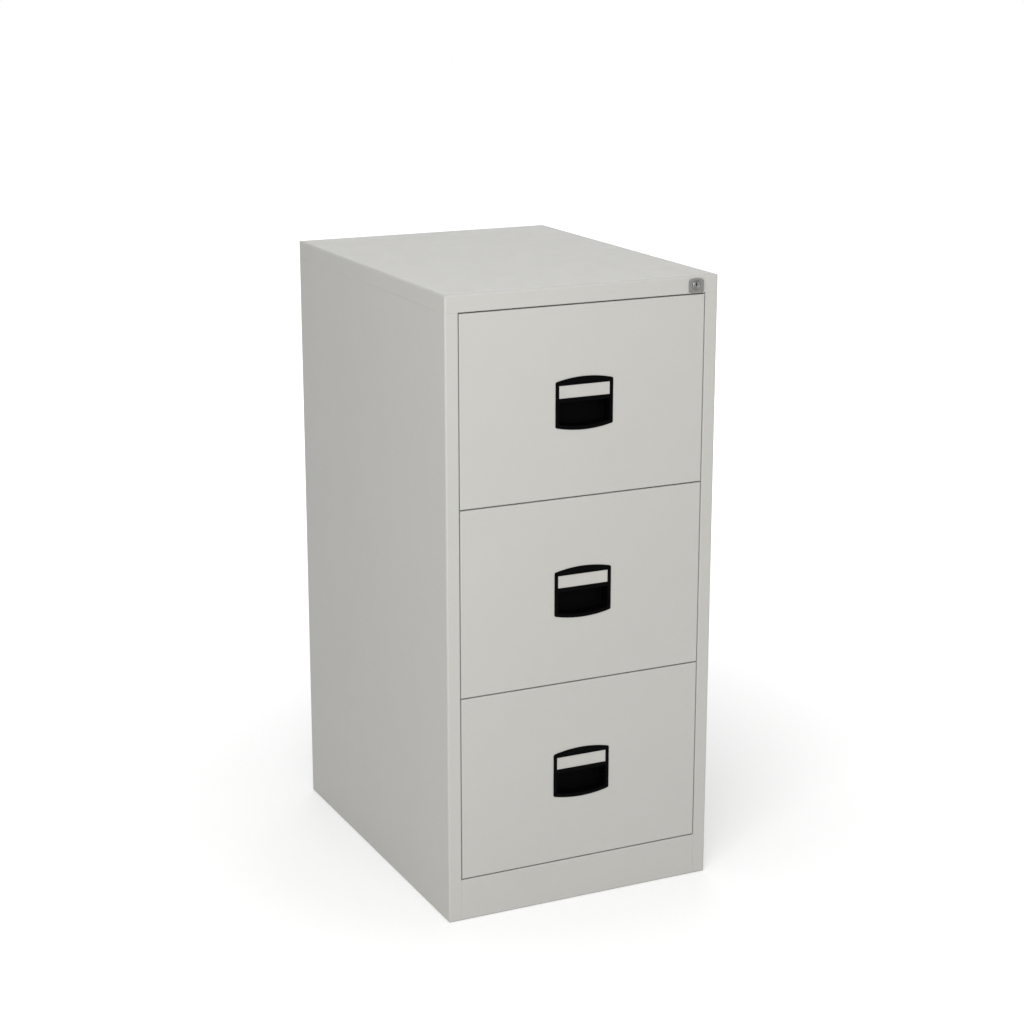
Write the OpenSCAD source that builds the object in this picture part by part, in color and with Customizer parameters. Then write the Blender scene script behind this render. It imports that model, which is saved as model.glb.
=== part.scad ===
// Three-drawer steel filing cabinet. A welded sheet-steel carcass holds three drawers on
// full-extension ball-bearing runners. Each drawer has a double-skin front with a moulded
// pocket handle and a label card. One cam lock lifts a lock bar that holds all three drawers.
// Millimetres. X runs across the width, Y from the front to the back, Z up.
// The origin is on the floor, in the middle of the overall box.
// Modules draw with Y = 0 at the front face of the carcass; placed() moves them to the origin.

/* [Carcass] */
// Width over the side panels
cabinet_w = 470; // [380:1:600]
// Depth from the front face to the back
cabinet_d = 622; // [480:1:760]
// Height from the floor to the top
cabinet_h = 1016; // [840:1:1240]
// Thickness of the carcass sheet
sheet_t = 1; // [0.8:0.1:1.2]
// Outside radius of the carcass edges
edge_r = 3; // [2:0.5:6]
// Outside radius of the folds round the drawer opening
fold_r = 1.5; // [1.4:0.1:2.5]
// Width of the stile at each side of the drawers
stile_w = 22; // [18:0.5:30]
// Height of the rail above the top drawer
top_rail_h = 28; // [27:0.5:45]
// Height of the plinth below the bottom drawer
plinth_h = 70; // [45:1:120]
// Depth of the folded returns behind the stiles, rail and plinth
return_d = 18; // [12:0.5:22]
// Height of the floor pan above the ground
pan_h = 19; // [14:1:35]

/* [Uprights and feet] */
// Width of an upright, front to back
upright_w = 30; // [20:1:50]
// Thickness of the upright channel
upright_t = 1.2; // [1:0.1:2]
// Distance from the front face to the front uprights
upright_front = 36; // [34:1:60]
// Distance from the back of the cabinet to the rear uprights
upright_rear = 60; // [40:1:120]
// Distance of a levelling foot from the outside faces
foot_inset = 45; // [40:1:80]
// Radius of a foot's pad
foot_pad_r = 15; // [10:0.5:20]
// Radius of a foot's threaded stem
foot_stem_r = 4; // [3:0.5:6]

/* [Drawers] */
// Gap above and below each drawer front
gap_z = 2; // [1:0.1:4]
// Gap at each side of a drawer front
gap_x = 1.5; // [1:0.1:2.5]
// Depth of the double-skin drawer front
front_d = 25; // [22:0.5:27]
// Thickness of the drawer sheet
drawer_t = 0.8; // [0.6:0.1:1.2]
// Height of the drawer floor above the bottom of its front
floor_lift = 12; // [8:1:30]
// Drop from the top of a drawer front to the top of the hanging rails
rail_drop = 34; // [20:1:60]
// Height of the hanging rail above the drawer side
rail_h = 12; // [8:1:16]
// Inward step from the drawer side to the hanging rail
rail_step = 4.8; // [3:0.1:8]
// Space behind the drawers
rear_space = 40; // [25:1:80]

/* [Runners] */
// Space for a runner between the upright and the drawer side
runner_w = 13; // [12.7:0.1:16]
// Height of the runner's cabinet member
runner_h = 46; // [38:1:60]
// Thickness of the runner steel
runner_t = 1.2; // [1:0.1:1.4]
// Diameter of a bearing ball
ball_d = 3.8; // [3:0.1:4.5]
// Height of the runner's middle above the drawer floor
runner_lift = 95; // [60:1:140]
// Radius of the screws that hold the drawer member
screw_r = 2; // [1.5:0.1:2.5]
// Distance of the outer screws from the ends of the runner
screw_inset = 60; // [30:5:90]
// Length of a ball cage
cage_len = 150; // [90:5:180]
// Bearing balls in each row of a cage
balls_in_row = 5; // [3:1:8]

/* [Handle] */
// Width of the handle plate
handle_w = 100; // [85:1:140]
// Height of the handle plate at its middle
handle_h = 84.5; // [75:0.5:110]
// Rise of the curved top and bottom edges
handle_bow = 6.3; // [3:0.1:10]
// Radius of the plate's corners
handle_corner_r = 3; // [1:0.5:6]
// How far the plate stands out from the drawer front
handle_proud = 1.5; // [1.4:0.1:3]
// Width of the rim round the finger pocket
handle_rim = 5; // [4:0.5:8]
// Wall thickness of the pocket
pocket_wall = 2; // [1.5:0.1:3]
// Depth of the pocket behind the drawer skin
pocket_d = 22; // [16:0.5:23]
// Drop of the handle's middle below the middle of the drawer front
handle_drop = 2.7; // [0:0.1:60]
// Width of the label window
window_w = 88; // [60:1:88]
// Height of the label window
window_h = 20; // [12:0.5:22]
// Height of the window's middle above the middle of the handle
window_lift = 19.8; // [18:0.1:24]

/* [Lock] */
// Distance of the lock's middle from the right side of the carcass
lock_inset = 40.4; // [36:0.1:60]
// Height of the lock's middle above the top drawer's opening
lock_lift = 13.3; // [12.8:0.1:13.6]
// Width of the lock plate
lock_w = 25; // [22:0.5:30]
// Height of the lock plate
lock_h = 22; // [20:0.5:24]
// How far the lock plate stands out from the rail
lock_proud = 4; // [2:0.5:6]
// Radius of the lock's threaded body
lock_body_r = 9.3; // [8:0.1:9.5]
// Radius of the turning barrel
barrel_r = 6.5; // [5:0.1:7]
// Radius at which the cam pin works the lock bar
crank_r = 8; // [6:0.5:8]
// Depth of a lock catch's top below the top of the drawer side
catch_drop = 45; // [20:1:60]

/* [Hidden] */
$fn = 64;
DRAWERS = ["top", "middle", "bottom"];
SIDES = ["left", "right"];

paint = "#cccbc5";
zinc = "#c3c7c9";
black_plastic = "#141414";
lock_grey = "#9a9b99";

eps = 0.01;                 // overshoot of a cut past a face
loose = 0.3;                // clearance of a piece that slides or is dropped in
snug = 0.05;                // clearance of a turning or threaded fit
front_y = lock_proud / 2 - cabinet_d / 2;

// Drawer opening
opening_half = cabinet_w / 2 - stile_w;
opening_top = cabinet_h - top_rail_h;
drawer_count = len(DRAWERS);
front_h = (opening_top - plinth_h - (drawer_count + 1) * gap_z) / drawer_count;
front_half = opening_half - gap_x;
front_lip = 11;             // width of the lip round the back of a drawer front
inner_half = cabinet_w / 2 - sheet_t;
return_w = stile_w - fold_r;    // width of the flanges that lie in the skin of the carcass
lap = edge_r - sheet_t + 0.2;   // distance of a flat sheet from the walls, clear of their bends
shell_top = opening_top + top_rail_h / 2;   // top of the pieces that lap inside the top panel

// Uprights and feet
rear_upright_y = cabinet_d - upright_rear - upright_w;
slot_w = 5;
slot_h = 14;
slot_pitch = 22.4;
slot_drop = 3;              // bottom of a lug's slot below the middle of the runner
pad_h = 5;
collar_h = 3;
foot_nut_h = 6.5;
stem_top = 16;              // height of a foot's stem above the floor pan

// Runners, across the width: the upright's face, then the runner, then the drawer side
runner_margin = 1.7;
upright_face = opening_half - runner_margin;
drawer_half = upright_face - runner_w;
runner_front = front_d + 3;
runner_len = cabinet_d - rear_space - runner_front - 4;

// Runner profiles, in u from the upright towards the drawer and v up from the runner's middle
ball_space = ball_d + 0.2;
cage_t = 0.5;
lip = 1.2;
web_gap = 1;
cabinet_top = runner_h / 2;
middle_top = cabinet_top - runner_t - ball_space;
drawer_top = middle_top - runner_t - ball_space;
cabinet_tip = runner_w - 2.2;
middle_web = runner_t + web_gap;
middle_tip = runner_w - runner_t - 0.4;
drawer_tip = middle_web + runner_t + web_gap;
drawer_web = runner_w - runner_t;
outer_row = cabinet_top - runner_t - ball_space / 2;
inner_row = middle_top - runner_t - ball_space / 2;
outer_cage_web = runner_t + (web_gap - cage_t) / 2;
inner_cage_web = middle_web + outer_cage_web;
cage_front = runner_len / 2 - cage_len / 2;
ball_pitch = cage_len / balls_in_row;

// Drawer body, front to back
liner_t = 1;
body_front = front_d + liner_t;
body_rear = cabinet_d - rear_space;
side_h = front_h - floor_lift - rail_h - rail_drop;
turn_r = 2.5;               // outside radius of the folds along the drawer floor
back_lip = 13;              // depth of the fold along the top of the drawer back
head_t = 1.6;

// Handle
slot_depth = 0.6;           // thickness of the slot that holds the card
slot_margin = 2;            // cover over each edge of the card
cover_t = 0.8;              // thickness of the frame in front of the card
card_t = 0.4;
grip_back = 2.5;            // back of the label panel behind the drawer skin
grip_foot = 3;              // bottom of the label panel above the middle of the handle
grip_lip = 8;               // back of the finger lip along the bottom of the label panel
clip_x = 25;
clip_w = 12;
clip_t = 2;

// Lock works
lock_x = cabinet_w / 2 - lock_inset;
lock_z = opening_top + lock_lift;
nut_af = 2 * (lock_lift - sheet_t - loose);
nut_t = 3.5;
cam_t = 2;
barrel_end = front_d - 1;
pin_r = 2;
cam_screw_r = 1.5;
cam_screw_len = 7;
pin_drop = crank_r * sin(45);
bar_lift = 2 * pin_drop;    // travel of the lock bar in a quarter turn
pin_play = 0.5;             // clearance above and below the pin in the lock bar's slot
bar_t = 3;
bar_y = front_d + 3.3;
bar_w = 16;
bar_x = opening_half + 2.5;
bar_foot = plinth_h - 25;
arm_h = 10;
arm_z = lock_z - pin_drop;
finger_h = 10;
finger_reach = opening_half - 10;
catch_h = 12;
catch_t = 1.2;
catch_len = 17;
catch_y = bar_y + bar_t + 1.7;
catch_lift = floor_lift + side_h - catch_drop - catch_h;
guide_h = 20;
guide_x = opening_half + 0.8;
guide_front = bar_y - 1.7;
guide_drop = 60;            // drop from a catch to the lock bar guide below it

function front_z(i) = plinth_h + gap_z + (drawer_count - 1 - i) * (front_h + gap_z);
function floor_z(i) = front_z(i) + floor_lift;
function runner_z(i) = floor_z(i) + runner_lift;
function handle_z(i) = front_z(i) + front_h / 2 - handle_drop;
function catch_z(i) = front_z(i) + catch_lift;
function runner_screws() = [screw_inset, runner_len / 2, runner_len - screw_inset];

module placed() translate([0, front_y, 0]) children();

// Draws a right-hand piece, and mirrors it for the left
module on_side(s) mirror([s == "left" ? 1 : 0, 0, 0]) children();

module on_both_sides() for (s = SIDES) on_side(s) children();

// Moves to the lock's axis, with the part's own +Z pointing to the back
module on_lock_axis() translate([lock_x, 0, lock_z]) rotate([-90, 0, 0]) children();

// ---------- 2D shapes ----------

// Quarter of a bent strip, in the first quadrant
module bend(r, t) intersection() {
    difference() {
        circle(r);
        circle(r - t);
    }
    square(r + eps);
}

// Rectangle from the origin, with round corners
module round_rect(w, h, r) {
    translate([r, 0]) square([w - 2 * r, h]);
    translate([0, r]) square([w, h - 2 * r]);
    for (x = [r, w - r], y = [r, h - r]) translate([x, y]) circle(r);
}

// Points along an arc from angle a to angle b, in n steps
function arc(x, y, r, a, b, n) = [for (k = [0 : n]) [x, y] + r * direction(a + k * (b - a) / n)];

function direction(angle) = [cos(angle), sin(angle)];

// Handle outline: straight sides, bowed top and bottom, round corners, drawn in by inset
module handle_outline(inset = 0) {
    bow_r = (pow(handle_w / 2, 2) + pow(handle_bow, 2)) / (2 * handle_bow) - inset;
    bow_y = handle_h / 2 - inset - bow_r;       // centre of the top bow
    corner = max(handle_corner_r - inset, 1);
    corner_x = handle_w / 2 - inset - corner;
    corner_y = bow_y + sqrt(pow(bow_r - corner, 2) - pow(corner_x, 2));
    turn = atan2(corner_y - bow_y, corner_x);   // where a corner runs into the bow
    step = (90 - turn) / 12;
    upper = concat(
        arc(corner_x, corner_y, corner, 0, turn, 6),
        arc(0, bow_y, bow_r, turn + step, 180 - turn - step, 22),
        arc(-corner_x, corner_y, corner, 180 - turn, 180, 6)
    );
    polygon(concat(upper, [for (q = upper) -q]));
}

// ---------- Carcass ----------

// Extrudes a shape drawn in X and Z from y0 back to y1
module extrude_back(y0, y1) translate([0, y1, 0]) rotate([90, 0, 0]) linear_extrude(y1 - y0) children();

// Extrudes a shape drawn in Y and Z from x0 to x1
module extrude_across(x0, x1) translate([x0, 0, 0]) rotate([90, 0, 90]) linear_extrude(x1 - x0) children();

// Block the size of the carcass less inset, with every edge round
module carcass_block(inset) {
    w = cabinet_w - 2 * inset;
    d = cabinet_d - 2 * inset;
    h = cabinet_h - 2 * inset;
    r = edge_r - inset;
    intersection() {
        translate([-w / 2, inset, inset]) linear_extrude(h) round_rect(w, d, r);
        extrude_back(inset, inset + d) translate([-w / 2, inset]) round_rect(w, h, r);
        extrude_across(-w / 2, w / 2) translate([inset, inset]) round_rect(d, h, r);
    }
}

// The whole outer skin; the welded panels are pieces of it
module carcass_skin() difference() {
    carcass_block(0);
    carcass_block(sheet_t);
}

// Fold along X at the edge of the opening: the skin turns back into a flat return.
// The fold's outer face touches z = 0 and the return lies below it.
module opening_fold() extrude_across(-opening_half, opening_half) {
    translate([fold_r, -fold_r]) mirror([1, 0]) bend(fold_r, sheet_t);
    translate([fold_r, -sheet_t]) square([return_d - fold_r, sheet_t]);
}

module top_panel() color(paint) {
    difference() {
        intersection() {
            carcass_skin();
            translate([-cabinet_w, -1, opening_top]) cube([2 * cabinet_w, cabinet_d + 2, cabinet_h]);
        }
        translate([-opening_half, -eps, opening_top - eps])
            cube([2 * opening_half, sheet_t + 2 * eps, fold_r + eps]);
        on_lock_axis() cylinder(h = 4 * sheet_t, r = lock_body_r + 0.2, center = true);
    }
    translate([0, 0, opening_top]) mirror([0, 0, 1]) opening_fold();
}

// Side wall with its stile, rear flange and bottom flange, and the fold beside the opening
module side_panel(s) color(paint) on_side(s) {
    intersection() {
        carcass_skin();
        union() {
            translate([cabinet_w / 2 - return_w, -1, -1])
                cube([return_w + 1, cabinet_d + 2, opening_top + 1]);
            translate([opening_half, -1, -1]) cube([fold_r + 1, return_w + 1, plinth_h + 1]);
        }
    }
    translate([0, 0, plinth_h]) linear_extrude(opening_top - plinth_h) {
        translate([opening_half + fold_r, fold_r]) rotate(180) bend(fold_r, sheet_t);
        translate([opening_half, fold_r]) square([sheet_t, return_d - fold_r]);
    }
}

module plinth() color(paint) {
    intersection() {
        carcass_skin();
        translate([-opening_half, -1, -1]) cube([2 * opening_half, return_w + 1, plinth_h - fold_r + 1]);
    }
    translate([0, 0, plinth_h]) opening_fold();
}

// Flat sheet lapped inside the rear flanges
module back_panel() color(paint) {
    half = inner_half - lap;
    translate([-half, cabinet_d - 2 * sheet_t, sheet_t + lap])
        cube([2 * half, sheet_t, shell_top - sheet_t - lap]);
}

module each_foot() for (x = [-1, 1], y = [foot_inset, cabinet_d - foot_inset])
    translate([x * (cabinet_w / 2 - foot_inset), y, 0]) children();

// Downward tray that stands on the bottom flanges and carries the uprights and feet
module floor_pan() color(paint) {
    half = inner_half - lap;
    front = sheet_t + lap;
    depth = cabinet_d - 2 * front;
    difference() {
        translate([-half, front, sheet_t]) cube([2 * half, depth, pan_h - sheet_t]);
        translate([-half + sheet_t, front + sheet_t, 0])
            cube([2 * (half - sheet_t), depth - 2 * sheet_t, pan_h - sheet_t]);
        each_foot() cylinder(h = pan_h + 1, r = foot_stem_r + loose);
    }
}

// Channel with its back to the runners and its open side against the side panel
module upright(s, y) color(paint) on_side(s) translate([upright_face, y, pan_h]) {
    depth = inner_half - upright_face;
    height = shell_top - pan_h;
    difference() {
        cube([depth, upright_w, height]);
        translate([upright_t, upright_t, -1]) cube([depth, upright_w - 2 * upright_t, height + 2]);
        for (i = [0 : drawer_count - 1], n = [-1, 0, 1])
            translate([-1, (upright_w - slot_w) / 2, runner_z(i) - pan_h - slot_drop + n * slot_pitch])
                cube([upright_t + 2, slot_w, slot_h]);
    }
}

module levelling_feet() color(zinc) each_foot() {
    cylinder(h = pad_h, r = foot_pad_r);
    translate([0, 0, pad_h]) cylinder(h = collar_h, r = foot_stem_r + 2.5, $fn = 6);
    translate([0, 0, pad_h + collar_h]) cylinder(h = pan_h + stem_top - pad_h - collar_h, r = foot_stem_r);
}

module foot_nuts() color(zinc) each_foot() translate([0, 0, pan_h]) difference() {
    cylinder(h = foot_nut_h, r = 1.85 * foot_stem_r, $fn = 6);
    translate([0, 0, -1]) cylinder(h = foot_nut_h + 2, r = foot_stem_r + snug);
}

// ---------- Runners ----------

// Strip of a profile from u0 to u1, reaching half above and below the runner's middle
module band(u0, u1, half) translate([u0, -half]) square([u1 - u0, 2 * half]);

// Extrudes a profile along the runner at the right-hand side of drawer i
module runner_extrude(i, length = runner_len, start = 0)
    translate([upright_face, runner_front + start, runner_z(i)])
        mirror([1, 0, 0]) extrude_back(0, length) children();

// Channel open towards the drawer, with its edges turned in
module cabinet_member_profile() difference() {
    band(0, cabinet_tip, cabinet_top);
    band(runner_t, cabinet_tip - lip, cabinet_top - runner_t);
    band(runner_t, cabinet_tip + 1, cabinet_top - runner_t - lip);
}

// Channel inside it, with its edges turned both in and out
module middle_member_profile() difference() {
    union() {
        band(middle_web, middle_tip, middle_top);
        band(middle_tip - lip, middle_tip, middle_top + lip);
    }
    band(middle_web + runner_t, middle_tip - lip, middle_top - runner_t);
    band(middle_web + runner_t, middle_tip + 1, middle_top - runner_t - lip);
}

// Channel with its back to the drawer, with its edges turned out
module drawer_member_profile() difference() {
    union() {
        band(drawer_tip, runner_w, drawer_top);
        band(drawer_tip, drawer_tip + lip, drawer_top + lip);
    }
    band(drawer_tip - 1, drawer_web, drawer_top - runner_t);
}

module cabinet_members(i) color(zinc) on_both_sides() runner_extrude(i) cabinet_member_profile();

// Lugs welded to the backs of the cabinet members, each hooked through a slot and down behind the
// web of an upright
module runner_hooks(i) color(zinc) on_both_sides() for (y = [upright_front, rear_upright_y])
    translate([upright_face, y + (upright_w - slot_w + 1) / 2, runner_z(i) - slot_drop]) {
        translate([0, 0, loose]) cube([upright_t + eps + loose, slot_w - 1, slot_h - 5]);
        translate([upright_t + loose, 0, -slot_drop]) cube([1.5, slot_w - 1, slot_h - 5 + slot_drop + loose]);
    }

module middle_members(i) color(zinc) on_both_sides() runner_extrude(i) middle_member_profile();

module drawer_members(i) color(zinc) on_both_sides() difference() {
    runner_extrude(i) drawer_member_profile();
    each_screw(i) cylinder(h = runner_w, r = screw_r + snug, center = true);
}

// Moves to each screw of the right-hand drawer member, on the face of the drawer side,
// with the screw's own +Z pointing out towards the runner
module each_screw(i) for (y = runner_screws())
    translate([drawer_half, runner_front + y, runner_z(i)]) rotate([0, 90, 0]) children();

// Pan-head screws from inside the drawer through its side and the drawer member
module member_screws(i) color(zinc) on_both_sides() each_screw(i) {
    translate([0, 0, -drawer_t - head_t]) cylinder(h = head_t, r = 2 * screw_r);
    translate([0, 0, -drawer_t - eps]) cylinder(h = drawer_t + eps + runner_t + 0.6, r = screw_r);
}

// Pressed strip with a row of ball pockets at the top and the bottom, and its balls.
// The strip's web starts at u = web, its rows lie at v = +-row and reach to tip, the balls at ball_u.
module ball_cages(i, web, row, tip, ball_u) on_both_sides() {
    difference() {
        runner_extrude(i, cage_len, cage_front) difference() {
            band(web, tip, row + cage_t / 2);
            band(web + cage_t, tip + 1, row - cage_t / 2);
        }
        each_ball(i, row, ball_u) cylinder(h = 4 * cage_t, r = ball_d / 2 + loose / 2, center = true);
    }
    each_ball(i, row, ball_u) sphere(d = ball_d);
}

module each_ball(i, row, ball_u) for (n = [0 : balls_in_row - 1], v = [-row, row])
    translate([upright_face - ball_u, runner_front + cage_front + (n + 0.5) * ball_pitch, runner_z(i) + v])
        children();

module outer_ball_cages(i) color(zinc)
    ball_cages(i, outer_cage_web, outer_row, cabinet_tip - lip - loose, cabinet_tip / 2 + 1);

module inner_ball_cages(i) color(zinc)
    ball_cages(i, inner_cage_web, inner_row, middle_tip - lip - loose, middle_tip / 2 + 2);

// ---------- Drawers ----------

// Strip as wide as the front and front_d deep, with its two front corners round
module round_front(w) {
    translate([fold_r, 0]) square([w - 2 * fold_r, front_d]);
    translate([0, fold_r]) square([w, front_d - fold_r]);
    for (x = [fold_r, w - fold_r]) translate([x, fold_r]) circle(fold_r);
}

// Outer skin: a pan with a round front edge, a lip round its back and the handle's opening
module drawer_front(i) color(paint) translate([0, 0, front_z(i)]) difference() {
    intersection() {
        translate([-front_half, 0, 0]) linear_extrude(front_h) round_front(2 * front_half);
        extrude_across(-front_half, front_half) mirror([1, -1]) round_front(front_h);
    }
    translate([-front_half + sheet_t, sheet_t, sheet_t])
        cube([2 * (front_half - sheet_t), front_d - 2 * sheet_t, front_h - 2 * sheet_t]);
    translate([-front_half + front_lip, front_d - 2 * sheet_t, front_lip])
        cube([2 * (front_half - front_lip), 3 * sheet_t, front_h - 2 * front_lip]);
    translate([0, 0, handle_z(i) - front_z(i)])
        extrude_back(-1, sheet_t + 1) handle_outline(handle_rim - loose);
}

// Inner skin that closes the back of the front
module drawer_liner(i) color(paint)
    translate([-front_half + front_lip / 2, front_d, front_z(i) + front_lip / 2])
        cube([2 * front_half - front_lip, liner_t, front_h - front_lip]);

// One folded sheet: floor, two sides, and a hanging rail along the top of each side
module drawer_body(i) color(paint) difference() {
    translate([0, 0, floor_z(i)]) extrude_back(body_front, body_rear) {
        translate([-drawer_half + turn_r, 0]) square([2 * (drawer_half - turn_r), drawer_t]);
        for (m = [0, 1]) mirror([m, 0]) {
            translate([drawer_half - turn_r, turn_r]) mirror([0, 1]) bend(turn_r, drawer_t);
            translate([drawer_half - drawer_t, turn_r]) square([drawer_t, side_h - turn_r]);
            translate([drawer_half - rail_step - drawer_t, side_h - drawer_t])
                square([rail_step + drawer_t, drawer_t]);
            translate([drawer_half - rail_step - drawer_t, side_h - drawer_t])
                square([drawer_t, rail_h + drawer_t]);
        }
    }
    on_both_sides() each_screw(i) cylinder(h = 4 * drawer_t, r = screw_r + snug, center = true);
}

// Rear plate between the sides, notched round the folds, with a fold along its top
module drawer_back(i) color(paint) translate([0, 0, floor_z(i)]) {
    half = drawer_half - drawer_t;
    plate_h = side_h - 2 * drawer_t;
    extrude_back(body_rear - drawer_t, body_rear) {
        translate([-half, turn_r]) square([2 * half, plate_h + drawer_t - turn_r]);
        translate([-drawer_half + turn_r, drawer_t]) square([2 * (drawer_half - turn_r), plate_h]);
    }
    translate([-half, body_rear - back_lip, plate_h]) cube([2 * half, back_lip, drawer_t]);
}

// Bracket on the right side of the drawer that the lock bar's finger holds
module lock_catch(i) color(zinc) translate([drawer_half, catch_y, catch_z(i)]) {
    cube([catch_t, catch_len, catch_h]);
    cube([runner_w - 1.8, catch_t, catch_h]);
}

// ---------- Handle ----------

// Plate, finger pocket, and the label panel that the fingers pull on from behind
module handle(i) color(black_plastic) translate([0, 0, handle_z(i)]) difference() {
    union() {
        extrude_back(-handle_proud, 0) handle_outline();
        extrude_back(-eps, pocket_d) handle_outline(handle_rim);
        for (x = [-clip_x, clip_x], m = [0, 1]) mirror([0, 0, m])
            translate([x - clip_w / 2, sheet_t + snug, handle_h / 2 - handle_rim - 2.8])
                cube([clip_w, clip_t, 3.4]);
    }
    difference() {
        extrude_back(-handle_proud - 1, pocket_d - pocket_wall) handle_outline(handle_rim + pocket_wall);
        translate([-handle_w, -handle_proud - 2, grip_foot])
            cube([2 * handle_w, handle_proud + 2 + grip_back, handle_h]);
        translate([-handle_w, -handle_proud - 2, grip_foot])
            cube([2 * handle_w, handle_proud + 2 + grip_lip, pocket_wall]);
    }
    label_slot();
}

// Window through the front of the label panel, and the slot behind it for the card
module label_slot() translate([0, 0, window_lift]) {
    translate([-window_w / 2, -handle_proud - 1, -window_h / 2])
        cube([window_w, cover_t + 1 + eps, window_h]);
    translate([-window_w / 2 - slot_margin, cover_t - handle_proud, -window_h / 2 - slot_margin])
        cube([window_w + 2 * slot_margin, slot_depth, window_h + 2 * slot_margin]);
}

module label_card(i) color("#d8d7d2") {
    w = window_w + 2 * (slot_margin - loose);
    h = window_h + 2 * (slot_margin - loose);
    y = cover_t - handle_proud + (slot_depth - card_t) / 2;
    translate([-w / 2, y, handle_z(i) + window_lift - h / 2]) cube([w, card_t, h]);
}

// ---------- Lock ----------

// Lock plate outline in X and Z: a bowed top over straight sides with round corners
module lock_outline() {
    corner = 3;
    bow = 2.6;
    bow_r = (pow(lock_w / 2, 2) + pow(bow, 2)) / (2 * bow);
    intersection() {
        translate([-lock_w / 2, -lock_h / 2]) round_rect(lock_w, lock_h + corner, corner);
        translate([0, lock_h / 2 - bow_r]) circle(bow_r, $fn = 128);
    }
}

// Plate and threaded body, with a fine groove round the barrel
module lock_housing() color(lock_grey) difference() {
    union() {
        translate([lock_x, 0, lock_z]) extrude_back(-lock_proud, 0) lock_outline();
        on_lock_axis() cylinder(h = barrel_end - 2, r = lock_body_r);
    }
    on_lock_axis() translate([0, 0, -lock_proud - 1]) {
        cylinder(h = lock_proud + barrel_end, r = barrel_r + snug);
        difference() {
            cylinder(h = 1.6, r = barrel_r + 2);
            translate([0, 0, -1]) cylinder(h = 4, r = barrel_r + 1);
        }
    }
}

module lock_nut() color(zinc) on_lock_axis() translate([0, 0, sheet_t]) difference() {
    cylinder(h = nut_t, r = nut_af / sqrt(3), $fn = 6);
    translate([0, 0, -1]) cylinder(h = nut_t + 2, r = lock_body_r + snug);
}

// Turning plug with an upright key slot and a tapped rear end
module lock_barrel() color(lock_grey) difference() {
    on_lock_axis() translate([0, 0, loose - lock_proud])
        cylinder(h = lock_proud - loose + barrel_end, r = barrel_r);
    translate([lock_x - 0.9, -lock_proud - 1, lock_z - 1.4]) cube([1.8, 16, 6.9]);
    on_lock_axis() translate([0, 0, barrel_end - cam_screw_len]) cylinder(h = 20, r = cam_screw_r + snug);
}

// Crank plate on the end of the barrel, with the pin that works the lock bar
module lock_cam() color(zinc) on_lock_axis() translate([0, 0, barrel_end]) rotate(45) difference() {
    union() {
        cylinder(h = cam_t, r = barrel_r - 1);
        translate([0, -3, 0]) cube([crank_r, 6, cam_t]);
        translate([crank_r, 0, 0]) cylinder(h = cam_t, r = 3);
        translate([crank_r, 0, cam_t - eps]) cylinder(h = bar_y + bar_t - barrel_end - cam_t + 1, r = pin_r);
    }
    translate([0, 0, -1]) cylinder(h = cam_t + 2, r = cam_screw_r + snug);
}

module cam_screw() color(zinc) on_lock_axis() translate([0, 0, barrel_end]) {
    translate([0, 0, loose - cam_screw_len]) cylinder(h = cam_screw_len + cam_t, r = cam_screw_r);
    translate([0, 0, cam_t]) cylinder(h = head_t, r = 2 * cam_screw_r);
}

// Flat bar behind the right stile
module lock_bar() color(zinc) translate([bar_x, bar_y, bar_foot])
    cube([bar_w, bar_t, arm_z + arm_h / 2 - bar_foot]);

// Arm welded to the edge of the bar, slotted for the cam pin
module lock_bar_arm() color(zinc) difference() {
    translate([lock_x - 1, bar_y, arm_z - arm_h / 2]) cube([bar_x - lock_x + 1, bar_t, arm_h]);
    translate([lock_x + pin_drop - pin_r - loose, bar_y - 1, arm_z - pin_r - pin_play])
        cube([crank_r - pin_drop + 2 * (pin_r + loose), bar_t + 2, 2 * (pin_r + pin_play)]);
}

// Finger for each drawer, welded to the same edge
module lock_bar_fingers() color(zinc) for (i = [0 : drawer_count - 1])
    translate([finger_reach, bar_y, catch_z(i) - 1 - finger_h])
        cube([bar_x - finger_reach, bar_t, finger_h]);

// Nylon blocks on the right front upright that the lock bar slides through
module lock_bar_guides() color("#e8e6df") for (i = [0 : drawer_count - 1])
    translate([0, 0, catch_z(i) - guide_drop]) difference() {
        translate([guide_x, guide_front, 0])
            cube([inner_half - loose - guide_x, upright_front - guide_front, guide_h]);
        translate([bar_x - loose, bar_y - loose, -1])
            cube([bar_w + 2 * loose, bar_t + 2 * loose, guide_h + 2]);
    }

// ---------- Nodes ----------

placed() top_panel();
placed() back_panel();
placed() plinth();
placed() floor_pan();
placed() levelling_feet();
placed() foot_nuts();
placed() lock_housing();
placed() lock_nut();
placed() lock_barrel();
placed() lock_cam();
placed() cam_screw();
placed() lock_bar();
placed() lock_bar_arm();
placed() lock_bar_fingers();
placed() lock_bar_guides();
for (s = SIDES) {
    placed() side_panel(s);
    placed() upright(s, upright_front);
    placed() upright(s, rear_upright_y);
}
for (i = [0 : drawer_count - 1]) {
    d = DRAWERS[i];
    placed() drawer_front(i);
    placed() drawer_liner(i);
    placed() drawer_body(i);
    placed() drawer_back(i);
    placed() handle(i);
    placed() label_card(i);
    placed() lock_catch(i);
    placed() cabinet_members(i);
    placed() runner_hooks(i);
    placed() outer_ball_cages(i);
    placed() inner_ball_cages(i);
    placed() middle_members(i);
    placed() drawer_members(i);
    placed() member_screws(i);
}
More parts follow.
